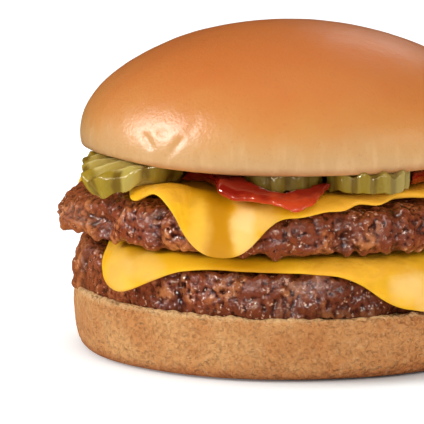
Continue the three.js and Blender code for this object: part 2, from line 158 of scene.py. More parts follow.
class PickleSettings(bpy.types.PropertyGroup):
    """Crinkle-cut gherkin"""

    grain: length("Grain", 0.38, "Edge length of the gherkin's faces")
    flute: length("Flute", 0.7, "Depth of the gherkin's flutes")
    dent: length("Dent", 0.2, "Height of the chips' unevenness")
    tuck: length("Tuck", 1.0, "How far a chip's top presses into the crown")
    flesh: colour("Flesh", 0xB0984A, "Cut flesh")
    skin: colour("Skin", 0x9A8024, "Skin")
    core: colour("Core", 0xB8A25C, "Paler middle with the seeds")
    # Painted highlights on the crinkle cut's waves.
    valley: colour("Valley", 0xDCCB8C, "Valleys of the crinkle cut")
    # Painted shade in the grooves beside the flutes.
    groove: colour("Groove", 0x5E4010, "Grooves between the flutes")
    streak: colour("Streak", 0xD8C070, "Pale streaks down the flank")
    # Painted light on the left chip's flank, in the crown's shadow.
    light: colour("Light", 0xD0BE6A, "Light band on the left chip")
    # Painted shadow where the left chip goes under the crown.
    dark: colour("Dark", 0x4C3008, "Where the left chip goes under the crown")
    # Painted light on the right chip's end, which sticks out from under the crown.
    end: colour("End", 0xC0B078, "Pale end of the right chip in front")
    # Painted shade under the crown.
    shade: colour("Shade", 0x50340C, "Chips that lie deep under the crown")


class StageSettings(bpy.types.PropertyGroup):
    """Floor, lights and camera"""

    distance: length("Distance", 1100, "From the camera to the burger's middle")
    frame_width: length("Frame", 106, "Width of the picture at the burger's middle")
    aside: length("Aside", -19.5, "How far the camera aims to the right of the burger's axis")
    aim: length("Aim", 32.7, "Height that the camera aims at")
    elevation: FloatProperty(
        name="Elevation", description="Of the camera", default=math.radians(9.5), subtype="ANGLE"
    )
    floor: colour("Floor", 0xEAF2F6, "The studio floor")
    cloud: colour("Cloud", 0xECEBE8, "Faint clouds in the floor")
    glow: FloatProperty(
        name="Glow", description="Light that the floor gives off", default=0.42, min=0
    )
    ambient: FloatProperty(
        name="Ambient", description="Light from all round", default=0.56, min=0
    )


# ---------------------------------------------------------------- Working on meshes


def deselect():
    if bpy.context.object and bpy.context.object.mode != "OBJECT":
        bpy.ops.object.mode_set(mode="OBJECT")
    bpy.ops.object.select_all(action="DESELECT")


def take(piece):
    """Makes the piece the only one that operators act on."""
    deselect()
    piece.select_set(True)
    bpy.context.view_layer.objects.active = piece


def copy_of(node, name):
    """A piece that starts as a copy of a CAD node, with its loose triangles joined."""
    piece = bpy.data.objects.new(name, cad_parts[node].data.copy())
    bpy.context.scene.collection.objects.link(piece)
    piece.data.materials.clear()
    take(piece)
    bpy.ops.mesh.customdata_custom_splitnormals_clear()
    bpy.ops.object.mode_set(mode="EDIT")
    bpy.ops.mesh.select_all(action="SELECT")
    bpy.ops.mesh.remove_doubles(threshold=MERGE_DISTANCE)
    bpy.ops.mesh.tris_convert_to_quads()
    bpy.ops.object.mode_set(mode="OBJECT")
    return piece


def refine(piece, kind, **settings):
    """Adds a modifier and applies it."""
    take(piece)
    bpy.ops.object.modifier_add(type=kind)
    modifier = piece.modifiers[-1]
    for name, value in settings.items():
        setattr(modifier, name, value)
    bpy.ops.object.modifier_apply(modifier=modifier.name)


def subdivide(piece):
    refine(piece, "SUBSURF", levels=2, render_levels=2)


def remesh(piece, edge):
    refine(piece, "REMESH", mode="VOXEL", voxel_size=edge)


def soften(piece, repeat):
    refine(piece, "SMOOTH", factor=0.5, iterations=repeat)


def weigh(piece, name, weight_at):
    """A vertex group whose weights are a function of place."""
    group = piece.vertex_groups.new(name=name)
    for vertex in piece.data.vertices:
        weight = weight_at(vertex.co)
        if weight > 0:
            group.add([vertex.index], min(weight, 1), "REPLACE")
    return group.name


def shift(piece, distance, group="", direction="NORMAL"):
    """Moves the surface, or the part of it in the group, out along its normals or an axis."""
    refine(
        piece, "DISPLACE", strength=distance, mid_level=0, direction=direction, vertex_group=group
    )


def relief(piece, size, strength, group="", direction="NORMAL", **settings):
    """Pushes the surface in and out by a procedural texture whose features have that size."""
    texture = bpy.data.textures.new(piece.name + "_relief", "CLOUDS")
    texture.noise_scale = size
    for name, value in settings.items():
        setattr(texture, name, value)
    refine(
        piece, "DISPLACE", texture=texture, texture_coords="LOCAL", direction=direction,
        strength=strength, vertex_group=group,
    )


def thin_out(piece, start, end):
    """Spares faces in the piece's middle, which the other pieces hide."""
    inside = weigh(piece, "inside", lambda place: 1 - outward(place, start, end))
    refine(piece, "DECIMATE", ratio=KEPT_FACES, vertex_group=inside)


def finish_piece(piece, node, material):
    """Shades, paints and hands over a piece that stands for a CAD node."""
    take(piece)
    bpy.ops.object.shade_smooth()
    piece.vertex_groups.clear()
    piece.data.materials.append(material)
    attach(piece, "root")
    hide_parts(node)


# ---------------------------------------------------------------- Weights by place


def reach(place):
    """Distance from the burger's axis."""
    return math.hypot(place.x, place.y)


def azimuth_of(place):
    """Direction from the burger's axis in degrees, 0 on the right and -90 in front."""
    return math.degrees(math.atan2(place.y, place.x))


def bell(value, middle, half_width):
    """1 at the middle, falling off on both sides."""
    return math.exp(-(((value - middle) / half_width) ** 2))


def rise(value, low, high):
    """0 below low, 1 above high, smooth between."""
    share = min(max((value - low) / (high - low), 0), 1)
    return share * share * (3 - 2 * share)


def outward(place, start, end):
    """0 nearer to the axis than start, 1 past end, both in millimetres."""
    return rise(reach(place), start * MM, end * MM)


def upward(place, start, end):
    """0 below start, 1 above end, both in millimetres."""
    return rise(place.z, start * MM, end * MM)


def leftward(place, start, end):
    """0 to the right of start, 1 to the left of end, both in millimetres left of the axis."""
    return rise(-place.x, start * MM, end * MM)


# Creases in the crown's front, each from one end to the other as (across, height), with its half
# width and its share of the full depth.
CROWN_CREASES = [
    ((-35.6, 57.2), (-34.4, 55.4), 1.0, 1.0),
    ((-32.0, 58.6), (-31.0, 58.6), 0.9, 0.7),
    ((-27.0, 57.4), (-30.4, 53.0), 0.8, 0.8),
    ((-22.6, 54.2), (-22.4, 51.4), 0.9, 0.5),
    ((-24.8, 59.8), (-23.0, 61.8), 1.0, 0.3),
]


def crown_creases(place):
    """How deep a place on the crown's front lies in the creases."""
    if place.y > 0:
        return 0
    spot = Vector((place.x, place.z)) / MM
    deepest = 0
    for start, end, half_width, share in CROWN_CREASES:
        start, end = Vector(start), Vector(end)
        along = end - start
        nearest = start + along * min(max((spot - start).dot(along) / along.length_squared, 0), 1)
        deepest = max(deepest, share * bell((spot - nearest).length, 0, half_width))
    return deepest


def crown_rim(place):
    """The crown's lower edge."""
    return (1 - upward(place, 50.5, 53.5)) * outward(place, 44, 48)


def heel_side(place):
    """The heel's crust, down to just above its base."""
    return upward(place, 0.5, 3) * outward(place, 44, 50)


def heel_lip(place):
    """The heel's upper edge."""
    return upward(place, 13.5, 15.2) * bell(reach(place), 53.7 * MM, 1.5 * MM)


def meat_foot(place):
    """The underside of the lower patty's rim, which rests on the heel."""
    return outward(place, 48, 51) * (1 - upward(place, 17.2, 20.7))


def meat_shoulder(place):
    """The lower patty's upper edge on the left, under the lobe."""
    return leftward(place, 45, 51) * upward(place, 22, 26)


def meat_lobe(place):
    """The underside of the lobe that stands out on the upper patty's left."""
    return leftward(place, 46, 54) * (1 - upward(place, 30, 36))


def cleft_at(azimuth, half_width):
    """The weight of a cleft in a rim."""

    def weight(place):
        turned = (azimuth_of(place) - azimuth + 180) % 360 - 180
        return bell(turned, 0, half_width) * outward(place, 44, 50)

    return weight


def slice_curl(place):
    """The upper slice's edge where it rides up in front of the left pickle."""
    return bell(azimuth_of(place), -125, 10) * outward(place, 43, 48)


FLUTES = 13  # round a gherkin
FLUTE_TURN = math.radians(22)


def flutes_round(middle, radius):
    """The weight of the flutes in a chip's skin, which leave its left end plain."""

    def weight(place):
        spoke = (place - middle).to_2d()
        wave = math.cos(FLUTES * math.atan2(spoke.y, spoke.x) + FLUTE_TURN)
        plain_end = rise(-spoke.x, 0.7 * radius, 0.95 * radius)
        skin = rise(spoke.length, 0.75 * radius, 0.95 * radius)
        return skin * (0.5 + 0.5 * wave) * (1 - plain_end)

    return weight


def chip_top(place):
    """The top of a chip, under the crown."""
    return upward(place, 46.5, 48.5)


# ---------------------------------------------------------------- Finishes

MIX_A, MIX_B, MIX_RESULT = 6, 7, 2  # the colour sockets of a Mix node


class Wire:
    """A node's output that can be calculated with."""

    def __init__(self, socket):
        self.socket = socket

    def _math(self, operation, first, second):
        tree = self.socket.id_data
        node = tree.nodes.new("ShaderNodeMath")
        node.operation = operation
        for socket, value in zip(node.inputs, (first, second)):
            connect(tree, socket, value)
        return Wire(node.outputs[0])

    def __add__(self, other):
        return self._math("ADD", self, other)

    def __sub__(self, other):
        return self._math("SUBTRACT", self, other)

    def __rsub__(self, other):
        return self._math("SUBTRACT", other, self)

    def __mul__(self, other):
        return self._math("MULTIPLY", self, other)

    __radd__ = __add__


def connect(tree, socket, value):
    """Links a wire to a socket, or sets the socket to a value."""
    if isinstance(value, Wire):
        tree.links.new(value.socket, socket)
    elif socket.type == "RGBA":
        socket.default_value = (*value, 1)
    else:
        socket.default_value = value


class Finish:
    """A procedural material in the making, in millimetres from the burger's origin."""

    def __init__(self, name):
        self.material = bpy.data.materials.new(name)
        self.material.use_nodes = True
        self.tree = self.material.node_tree
        self.shader = self.tree.nodes["Principled BSDF"]
        coordinates = self.node("ShaderNodeTexCoord", {}, {}, "Object")
        self.place = self.node(
            "ShaderNodeVectorMath", {"operation": "SCALE"}, {0: coordinates, "Scale": 1 / MM}
        )

    def node(self, kind, settings, sockets, output=0):
        """Any node, with its settings and what its sockets are fed with."""
        node = self.tree.nodes.new(kind)
        for name, value in settings.items():
            setattr(node, name, value)
        for key, value in sockets.items():
            connect(self.tree, node.inputs[key], value)
        return Wire(node.outputs[output])

    def axis(self, name, place=None):
        return self.node("ShaderNodeSeparateXYZ", {}, {0: place or self.place}, name)

    def azimuth(self, place=None):
        """Direction from the axis in radians."""
        axes = {0: self.axis("Y", place), 1: self.axis("X", place)}
        return self.node("ShaderNodeMath", {"operation": "ARCTAN2"}, axes)

    def cosine(self, angle):
        return self.node("ShaderNodeMath", {"operation": "COSINE"}, {0: angle})

    def drawn_out(self, times):
        """Places for a pattern that is drawn out upwards."""
        return self.node(
            "ShaderNodeMapping", {}, {"Vector": self.place, "Scale": (1, 1, 1 / times)}
        )

    def noise(self, size, detail, roughness=0.5, place=None):
        """Noise from 0 to 1 whose features have that size."""
        return self.node(
            "ShaderNodeTexNoise",
            {},
            {
                "Vector": place or self.place,
                "Scale": 1 / size,
                "Detail": detail,
                "Roughness": roughness,
            },
        )

    def wobble(self, size, detail, amount, roughness=0.5):
        """Noise round 0 that spans that amount."""
        return (self.noise(size, detail, roughness) - 0.5) * amount

    def cells(self, size):
        """Distance to the middle of the nearest of many cells."""
        return self.node("ShaderNodeTexVoronoi", {}, {"Vector": self.place, "Scale": 1 / size})

    def between(self, value, low, high):
        """0 at low, 1 at high, smooth between."""
        return self.node(
            "ShaderNodeMapRange",
            {"interpolation_type": "SMOOTHSTEP"},
            {"Value": value, "From Min": low, "From Max": high},
        )

    def blend(self, share, first, second):
        return self.node(
            "ShaderNodeMix",
            {"data_type": "RGBA"},
            {"Factor": share, MIX_A: first, MIX_B: second},
            MIX_RESULT,
        )

    def bump(self, height, depth, normal=None):
        """A relief whose height, from 0 to 1, stands for that many millimetres."""
        sockets = {"Height": height, "Distance": depth * MM, "Strength": 1}
        if normal:
            sockets["Normal"] = normal
        return self.node("ShaderNodeBump", {}, sockets)

    def lit_through(self, share, *radius):
        """Lets light through the surface, as far as that many metres of red, green and blue."""
        connect(self.tree, self.shader.inputs["Subsurface Scale"], 1)
        connect(self.tree, self.shader.inputs["Subsurface Weight"], share)
        connect(self.tree, self.shader.inputs["Subsurface Radius"], radius)

    def done(self, **sockets):
        """The material, with the shader's sockets fed by name."""
        for name, value in sockets.items():
            connect(self.tree, self.shader.inputs[name.replace("_", " ")], value)
        return self.material


def crust_finish(bun):
    f = Finish("crown_crust")
    height = f.axis("Z")
    browned = f.between(height + f.noise(14, 3) * 14, 58, 84)
    shade = f.blend(browned, bun.side, bun.top)
    pale = f.between(height + f.noise(9, 3) * 8, 66, 55)
    shade = f.blend(pale * 0.95, shade, bun.rim)
    streaks = f.between(f.noise(2.6, 3, 0.6, f.drawn_out(4)), 0.45, 0.75)
    shade = f.blend(streaks * pale * 0.3, shade, bun.streak)
    freckles = f.between(f.noise(0.9, 2), 0.6, 0.72)
    shade = f.blend(freckles * 0.15, shade, bun.freckle)
    edge = f.between(height + f.noise(2, 2), 52.6, 50.7)
    shade = f.blend(edge * 0.55, shade, bun.edge)
    normal = f.bump(f.noise(2.4, 3, 0.6), 0.13)
    normal = f.bump(f.noise(0.8, 3), 0.09, normal)
    f.lit_through(0.08, 0.004, 0.002, 0.001)
    return f.done(
        Base_Color=shade,
        Roughness=0.26 + f.noise(3, 3) * 0.16,
        Normal=normal,
        Specular_IOR_Level=0.7,
        Coat_Weight=0.5,
        Coat_Roughness=0.45,
    )


def heel_finish(bun):
    f = Finish("heel_crust")
    height = f.axis("Z")
    clouds = f.between(f.noise(11, 4), 0.35, 0.65)
    shade = f.blend(clouds * 0.55, bun.heel_crust, bun.heel_cloud)
    # Painted shade that darkens the heel towards its right.
    right = f.between(f.axis("X") + f.noise(14, 2) * 20, -20, 50)
    shade = f.blend(right * 0.38, shade, bun.heel_right)
    base = f.between(height + f.noise(5, 3) * 3, 5.6, 1.6)
    shade = f.blend(base * 0.95, shade, bun.heel_dark)
    pits = f.noise(1.3, 1)
    # Painted shade darkens the pores, which the same noise dents below.
    shade = f.blend(f.between(pits, 0.46, 0.26) * 0.35, shade, bun.pit)
    flour = f.between(f.noise(1.8, 4, 0.65), 0.5, 0.7)
    shade = f.blend(flour * 0.2, shade, bun.flour)
    lip = f.between(height + f.noise(1.2, 3, 0.7) * 2.4, 15.6, 17)
    shade = f.blend(lip * 0.65, shade, bun.lip)
    normal = f.bump(pits, 2.2)
    normal = f.bump(f.noise(0.8, 3, 0.6), 0.3, normal)
    f.lit_through(0.08, 0.003, 0.0015, 0.0008)
    return f.done(Base_Color=shade, Roughness=0.8, Normal=normal, Specular_IOR_Level=0.25)


# Clefts in the patties' rims, as (azimuth, half width in degrees, depth in millimetres).
CLEFTS = {
    "lower": [(-164, 3, 1.6), (-122, 2.5, 1.2), (-20, 3, 1.5)],
    "upper": [
        (-152, 3, 2.8), (-128, 2.2, 1), (-77, 2.5, 1.2), (-62, 2, 1), (-30, 3, 1.5), (66, 3, 1.8),
    ],
}
SEARED = {"lower": 0.5, "upper": 0.16}  # how much painted shade darkens the patty's right side


def meat_finish(name, meat):
    f = Finish("meat_" + name)
    across, height = f.axis("X"), f.axis("Z")
    raised = f.between(f.node("ShaderNodeNewGeometry", {}, {}, "Pointiness"), 0.43, 0.57)
    crumb = f.between(f.cells(1.4), 0.7, 0.2)
    # Painted shade in the creases between strands; the lighter tops are browning and painted
    # light.
    lit = raised * 0.6 + crumb * 0.15 + f.wobble(0.8, 3, 0.62, 0.65)
    shade = f.blend(f.between(lit, 0.08, 0.44), meat.crease, meat.body)
    shade = f.blend(f.between(lit + f.wobble(7, 3, 2.4), 0.4, 1.0), shade, meat.crest)
    # Painted shade towards the patty's right, away from the key light.
    seared = f.between(across + f.noise(12, 2) * 30, -30, 40)
    shade = f.blend(seared * SEARED[name], shade, meat.crease)
    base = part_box("patty_" + name)[0].z / MM
    # Painted shade low on each patty, more on its right.
    foot = f.between(height + f.noise(5, 3) * 4, base + 6.5, base + 2)
    shade = f.blend(foot * (0.1 + seared * 0.35), shade, meat.crease)
    # Painted light on the patties' left end.
    left = f.between(across, -42, -54)
    shade = f.blend(left * 0.25, shade, meat.crest)
    # Pale specks: fat, and painted glints on the wet meat.
    fat = f.between(f.noise(1, 2), 0.6, 0.68) * f.between(f.noise(6, 2), 0.42, 0.56)
    shade = f.blend(fat * 0.6, shade, meat.fat)
    # Painted shade in each cleft.
    angle = f.azimuth() * math.degrees(1) + f.wobble(4, 3, 9)
    for azimuth, half_width, depth in CLEFTS[name]:
        aside = (angle - azimuth) * (1 / half_width)
        cleft = f.between(aside * aside, 1, 0)
        shade = f.blend(cleft * min(depth / 4, 0.55), shade, meat.crease)
    normal = f.bump(f.noise(1.8, 2), 0.8)
    normal = f.bump(f.noise(0.8, 2), 0.26, normal)
    wet = f.between(f.noise(5, 3), 0.42, 0.5)
    f.lit_through(0.05, 0.002, 0.0008, 0.0005)
    return f.done(
        Base_Color=shade, Roughness=0.12 - wet * 0.05, Normal=normal, Specular_IOR_Level=0.5
    )


# Places on the slices as (across, height, half width, half height, share): painted shade in a
# fold's hollow and under the crown and the upper patty, painted highlights, and where juices from
# the meat lie on the cheese, with painted light there.
CHEESE_DEEP = {
    "upper": [(-17.8, 36, 3.2, 10, 1.0), (-23, 44.5, 5, 1.8, 0.35), (20, 43, 16, 3, 0.4)],
    "lower": [(-12, 25, 9, 3.5, 0.8)],
}
CHEESE_PALE = {
    "upper": [(-22.6, 36, 2.2, 6, 0.15), (-12, 37, 2.4, 5, 0.65), (-9, 40, 4, 2.4, 0.4)],
    "lower": [
        (-42, 24, 2.6, 4, 0.3), (-36, 26, 4, 2.4, 0.3), (28, 22.4, 4, 3, 0.6), (33, 18, 3, 2, 0.4),
    ],
}
CHEESE_OILY = {
    "upper": [(22, 42, 14, 3, 0.9), (-31, 44.5, 5, 2, 0.5)],
    "lower": [(15, 27.5, 12, 2.2, 0.7)],
}
SPOT_END = 2.6  # square of how many half widths a spot reaches out before it has faded


def cheese_finish(name, cheese):
    f = Finish("cheese_" + name)
    across = f.axis("X") + f.wobble(5, 2, 3)
    height = f.axis("Z") + f.wobble(4, 2, 4)

    def spots(places):
        total = 0
        for x, z, half_width, half_height, share in places:
            sideways = (across - x) * (1 / half_width)
            upwards = (height - z) * (1 / half_height)
            away = sideways * sideways + upwards * upwards
            total = total + f.between(away, SPOT_END, 0) * share
        return total

    clouds = f.between(f.noise(8, 3), 0.4, 0.65)
    shade = f.blend(clouds * 0.4, cheese.body, cheese.deep)
    # Painted shade.
    shade = f.blend(spots(CHEESE_DEEP[name]), shade, cheese.deep)
    # Painted highlights.
    shade = f.blend(spots(CHEESE_PALE[name]), shade, cheese.pale)
    # Meat juices, which make the cheese glossier, and painted light in its colour.
    oily = spots(CHEESE_OILY[name])
    shade = f.blend(oily * 0.6, shade, cheese.oily)
    normal = f.bump(f.noise(3.5, 2), 0.15)
    normal = f.bump(f.noise(1.8, 2) * oily, 0.5, normal)
    f.lit_through(0.15, 0.003, 0.0018, 0.0004)
    return f.done(
        Base_Color=shade,
        Roughness=0.24 + f.noise(4, 3) * 0.2 - oily * 0.22,
        Normal=normal,
        Specular_IOR_Level=0.35,
    )


def ketchup_finish(sauce):
    f = Finish("ketchup_gloss")
    # Lighter low down where the sauce is thin, and painted shadow under the crown higher up.
    thin = f.between(f.axis("Z") + f.wobble(3, 3, 4), 46.5, 43.5)
    shade = f.blend(thin * 0.85, sauce.body, sauce.light)
    f.lit_through(0.1, 0.002, 0.0004, 0.0002)
    return f.done(
        Base_Color=shade,
        Roughness=0.06,
        Normal=f.bump(f.noise(4, 1), 0.25),
        Specular_IOR_Level=0.65,
    )


RIB_PITCH = 5  # of the crinkle cut, in millimetres
# The azimuth in which a chip's waves follow each other.
RIBS = {
    "pickle_left": 82,
    "pickle_front": -10,
    "pickle_front_right": 6,
    "pickle_back_right": 100,
    "pickle_back": 30,
}
PICKLE_SHADE = {"pickle_front": 0.6, "pickle_front_right": 0.22}  # painted shade, how dark it is under the crown
GROOVE_TURN = FLUTE_TURN - 0.6  # the dark lines lie a little beside the flutes
LIGHT_BAND, LIGHT_BAND_HALF_WIDTH = -39, 3  # painted light across the left chip, in millimetres


def pickle_finish(node, pickle):
    f = Finish(node + "_brine")
    across = f.axis("X")
    low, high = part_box(node)
    middle = [(a + b) / 2 / MM for a, b in zip(low, high)]
    radius = [(b - a) / 2 / MM for a, b in zip(low, high)]
    centred = f.node(
        "ShaderNodeMapping",
        {},
        {
            "Vector": f.place,
            "Location": (-middle[0] / radius[0], -middle[1] / radius[1], 0),
            "Scale": (1 / radius[0], 1 / radius[1], 0),
        },
    )
    away = f.node("ShaderNodeVectorMath", {"operation": "LENGTH"}, {0: centred}, "Value")
    away = away + f.wobble(2.5, 3, 0.08)
    shade = f.blend(f.between(away, 0.62, 0.35), pickle.flesh, pickle.core)

    turned = math.radians(RIBS[node])
    along = (across - middle[0]) * math.cos(turned) + (f.axis("Y") - middle[1]) * math.sin(turned)
    ridge = f.cosine(along * (math.tau / RIB_PITCH))
    # Painted highlights and painted shade in lines across the crinkle cut.
    shade = f.blend(f.between(ridge, -0.5, -1) * 0.5, shade, pickle.valley)
    shade = f.blend(f.between(ridge, 0.3, 1) * 0.3, shade, pickle.skin)

    flank = f.between(away, 0.86, 0.95)
    shade = f.blend(flank, shade, pickle.skin)
    # Painted shade in the grooves beside the flutes.
    groove = f.cosine(f.azimuth(centred) * FLUTES + GROOVE_TURN + f.noise(4, 2) * 1.2)
    shade = f.blend(f.between(groove, 0, 0.9) * flank * 0.68, shade, pickle.groove)
    streak = f.between(f.noise(1.6, 3, 0.6, f.drawn_out(6)), 0.5, 0.62)
    shade = f.blend(streak * 0.12, shade, pickle.streak)

    if node == "pickle_left":
        # Painted light on a band of the flank.
        beside = across - LIGHT_BAND
        light = f.between(beside * beside, LIGHT_BAND_HALF_WIDTH**2, 0)
        shade = f.blend(light * 0.5, shade, pickle.light)
        # Painted shadow where the chip goes under the crown.
        covered = f.between(across, -36, -27)
        shade = f.blend(covered * 0.55, shade, pickle.dark)
    if node == "pickle_front_right":
        # Painted light on the chip's right end.
        end = f.between(across, 20, 27)
        shade = f.blend(end * 0.45, shade, pickle.end)
    # Painted shade on chips under the crown.
    shade = f.blend(PICKLE_SHADE.get(node, 0), shade, pickle.shade)
    f.lit_through(0.25, 0.0025, 0.0022, 0.0008)
    return f.done(
        Base_Color=shade,
        Roughness=0.14 + f.noise(2, 2) * 0.16,
        Normal=f.bump(f.noise(1.5, 2), 0.12),
    )


def paper_finish(stage):
    """A pale floor with a painted glow all round the burger, which leaves a painted shadow under
    it.
    """
    f = Finish("floor_paper")
    shade = f.blend(f.noise(60, 2) * 0.1, stage.floor, stage.cloud)
    ends = {0: f.place, 1: (10, 0, 0)}
    apart = f.node("ShaderNodeVectorMath", {"operation": "DISTANCE"}, ends, "Value")
    glow = f.blend(f.between(apart, 46, 70), tone(0x000000), tone(0xFFFFFF))
    return f.done(
        Base_Color=shade, Roughness=0.8, Emission_Color=glow, Emission_Strength=stage.glow
    )


# ---------------------------------------------------------------- Pieces

# Widths of the features that the reliefs bring.
CROWN_SWELLS, CROWN_RIPPLES = 22 * MM, 5 * MM
HEEL_DENTS, HEEL_PORES, LIP_CRUMBS = 9 * MM, 1.6 * MM, 1.8 * MM
MEAT_LUMPS, MEAT_CRUMBS = 5 * MM, 1.1 * MM
CHEESE_RIPPLES = 8 * MM
SAUCE_LUMPS = 5 * MM
CHIP_DENTS = 3 * MM

# How the strands of mince are strewn: from this far from the axis, not on the underside, and with
# shares of a strand's thickness for their place and depth.
MINCE_START = 46 * MM
MINCE_LOWEST_NORMAL = -0.4
STRAND_SHAPE = (1.5, 1, 0.9)
STRAND_SIZES = (0.5, 1.0)
STRAND_SIZE_POWER = 1.5  # makes most strands small
STRAND_LARGEST = 1.5
STRAND_SUNK = (0.1, 0.4)
STRAND_ASIDE = 0.5
STRAND_SQUEEZE = (0.8, 1.2)


class BURGER_OT_crown(bpy.types.Operator):
    """Model the crown: a smooth baked dome with slow swells and small dents"""

    bl_idname = "burger.crown"
    bl_label = "Crown"

    def execute(self, context):
        bun = context.scene.burger_bun
        crown = copy_of("bun_crown", "crown")
        subdivide(crown)
        remesh(crown, bun.grain)
        soften(crown, 6)
        relief(crown, CROWN_SWELLS, bun.swell)
        relief(crown, CROWN_RIPPLES, bun.swell * 0.2)
        shift(crown, -bun.dent, weigh(crown, "creases", crown_creases))
        shift(crown, -bun.sag, weigh(crown, "rim", crown_rim), "Z")
        finish_piece(crown, "bun_crown", crust_finish(bun))
        return {"FINISHED"}


class BURGER_OT_heel(bpy.types.Operator):
    """Model the heel: a soft disc with a torn lip and open pores"""

    bl_idname = "burger.heel"
    bl_label = "Heel"

    def execute(self, context):
        bun = context.scene.burger_bun
        heel = copy_of("bun_heel", "heel")
        subdivide(heel)
        remesh(heel, bun.grain)
        soften(heel, 3)
        side = weigh(heel, "side", heel_side)
        relief(heel, HEEL_DENTS, bun.pore, side)
        relief(heel, HEEL_PORES, bun.pore * 0.5, side)
        lip = weigh(heel, "lip", heel_lip)
        shift(heel, bun.tear * 0.9, lip, "Z")
        relief(heel, LIP_CRUMBS, bun.tear, lip, "Z")
        thin_out(heel, 42, 46)
        finish_piece(heel, "bun_heel", heel_finish(bun))
        return {"FINISHED"}


def strand_of_mince(thickness):
    """One short, rounded strand of mince."""
    bpy.ops.mesh.primitive_ico_sphere_add(subdivisions=2, radius=thickness / 2)
    strand = bpy.context.object
    bpy.ops.object.mode_set(mode="EDIT")
    bpy.ops.transform.resize(value=STRAND_SHAPE)
    bpy.ops.object.mode_set(mode="OBJECT")
    return strand


def mince(patty, meat, seed):
    """Presses strands of mince into the patty's rim and joins all into one skin."""
    dice = random.Random(seed)
    rim = [
        v for v in patty.data.vertices
        if reach(v.co) > MINCE_START and v.normal.z > MINCE_LOWEST_NORMAL
    ]
    strand = strand_of_mince(meat.strand)
    copies = []
    for _ in range(meat.strands):
        at = dice.choice(rim)
        size = dice.uniform(*STRAND_SIZES) ** STRAND_SIZE_POWER * STRAND_LARGEST
        sunk = meat.strand * size * dice.uniform(*STRAND_SUNK)
        sideways = Vector([dice.uniform(-1, 1) for _ in range(3)]) * meat.strand * STRAND_ASIDE
        copy = bpy.data.objects.new("strand", strand.data.copy())
        bpy.context.scene.collection.objects.link(copy)
        copy.location = at.co + sideways - at.normal * (sunk + sideways.dot(at.normal))
        copy.rotation_euler = at.normal.to_track_quat("Z", "Y").to_euler()
        copy.rotation_euler.rotate_axis("Z", dice.uniform(0, math.tau))
        copy.scale = [size * dice.uniform(*STRAND_SQUEEZE) for _ in range(3)]
        copies.append(copy)
    bpy.data.objects.remove(strand)
    take(patty)
    for copy in copies:
        copy.select_set(True)
    bpy.ops.object.join()
    remesh(patty, meat.grain)


def press(piece, azimuth, half_width, depth):
    """Presses a cleft into a rim, straight towards the burger's axis."""
    cleft = weigh(piece, "cleft", cleft_at(azimuth, half_width))
    inwards = -depth * Vector((math.cos(math.radians(azimuth)), math.sin(math.radians(azimuth))))
    shift(piece, inwards.x, cleft, "X")
    shift(piece, inwards.y, cleft, "Y")
    piece.vertex_groups.clear()


class BURGER_OT_patties(bpy.types.Operator):
    """Model both patties: strands of mince pressed into a crumbly disc"""

    bl_idname = "burger.patties"
    bl_label = "Patties"

    def execute(self, context):
        meat = context.scene.burger_meat
        for turn, name in enumerate(("lower", "upper")):
            patty = copy_of("patty_" + name, "meat_" + name)
            subdivide(patty)
            shift(patty, -meat.inset)
            mince(patty, meat, meat.seed + turn)
            soften(patty, 1)
            relief(patty, MEAT_LUMPS, meat.lump)
            relief(patty, MEAT_CRUMBS, meat.crumb, noise_depth=2)
            for azimuth, half_width, depth in CLEFTS[name]:
                press(patty, azimuth, half_width, depth * MM)
            if name == "lower":
                shift(patty, -meat.settle, weigh(patty, "foot", meat_foot), "Z")
                shift(patty, meat.shoulder, weigh(patty, "shoulder", meat_shoulder), "Z")
            else:
                shift(patty, meat.lobe, weigh(patty, "lobe", meat_lobe), "Z")
            thin_out(patty, 40, 44)
            finish_piece(patty, "patty_" + name, meat_finish(name, meat))
        return {"FINISHED"}


class BURGER_OT_cheese(bpy.types.Operator):
    """Model both melted slices"""

    bl_idname = "burger.cheese"
    bl_label = "Cheese"

    def execute(self, context):
        cheese = context.scene.burger_cheese
        for name in ("lower", "upper"):
            sheet = copy_of("cheese_" + name, "slice_" + name)
            subdivide(sheet)
            soften(sheet, 5)
            relief(sheet, CHEESE_RIPPLES, cheese.ripple)
            if name == "upper":
                shift(sheet, cheese.curl, weigh(sheet, "curl", slice_curl), "Z")
            finish_piece(sheet, "cheese_" + name, cheese_finish(name, cheese))
        return {"FINISHED"}


class BURGER_OT_ketchup(bpy.types.Operator):
    """Model the ketchup"""

    bl_idname = "burger.ketchup"
    bl_label = "Ketchup"

    def execute(self, context):
        sauce = context.scene.burger_sauce
        ketchup = copy_of("ketchup", "sauce")
        remesh(ketchup, sauce.grain)
        soften(ketchup, 12)
        relief(ketchup, SAUCE_LUMPS, sauce.lump)
        finish_piece(ketchup, "ketchup", ketchup_finish(sauce))
        return {"FINISHED"}


class BURGER_OT_pickles(bpy.types.Operator):
    """Model the crinkle-cut pickle chips"""

    bl_idname = "burger.pickles"
    bl_label = "Pickles"

    def execute(self, context):
        pickle = context.scene.burger_pickle
        for node in sorted(RIBS):
            chip = copy_of(node, node.replace("pickle", "chip"))
            remesh(chip, pickle.grain)
            soften(chip, 2)
            low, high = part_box(node)
            radius = min(high.x - low.x, high.y - low.y) / 2
            shift(chip, pickle.flute * 0.5)
            flutes = weigh(chip, "flutes", flutes_round((low + high) / 2, radius))
            shift(chip, -pickle.flute, flutes)
            relief(chip, CHIP_DENTS, pickle.dent)
            if node != "pickle_left":
                shift(chip, pickle.tuck, weigh(chip, "top", chip_top), "Z")
            finish_piece(chip, node, pickle_finish(node, pickle))
        return {"FINISHED"}


# ---------------------------------------------------------------- Stage

WET = ("meat_lower", "meat_upper", "sauce", "chip_left", "chip_front", "chip_front_right")
WARM = (1, 0.91, 0.83)
UNSEEN, SEEN = "unseen", "seen"

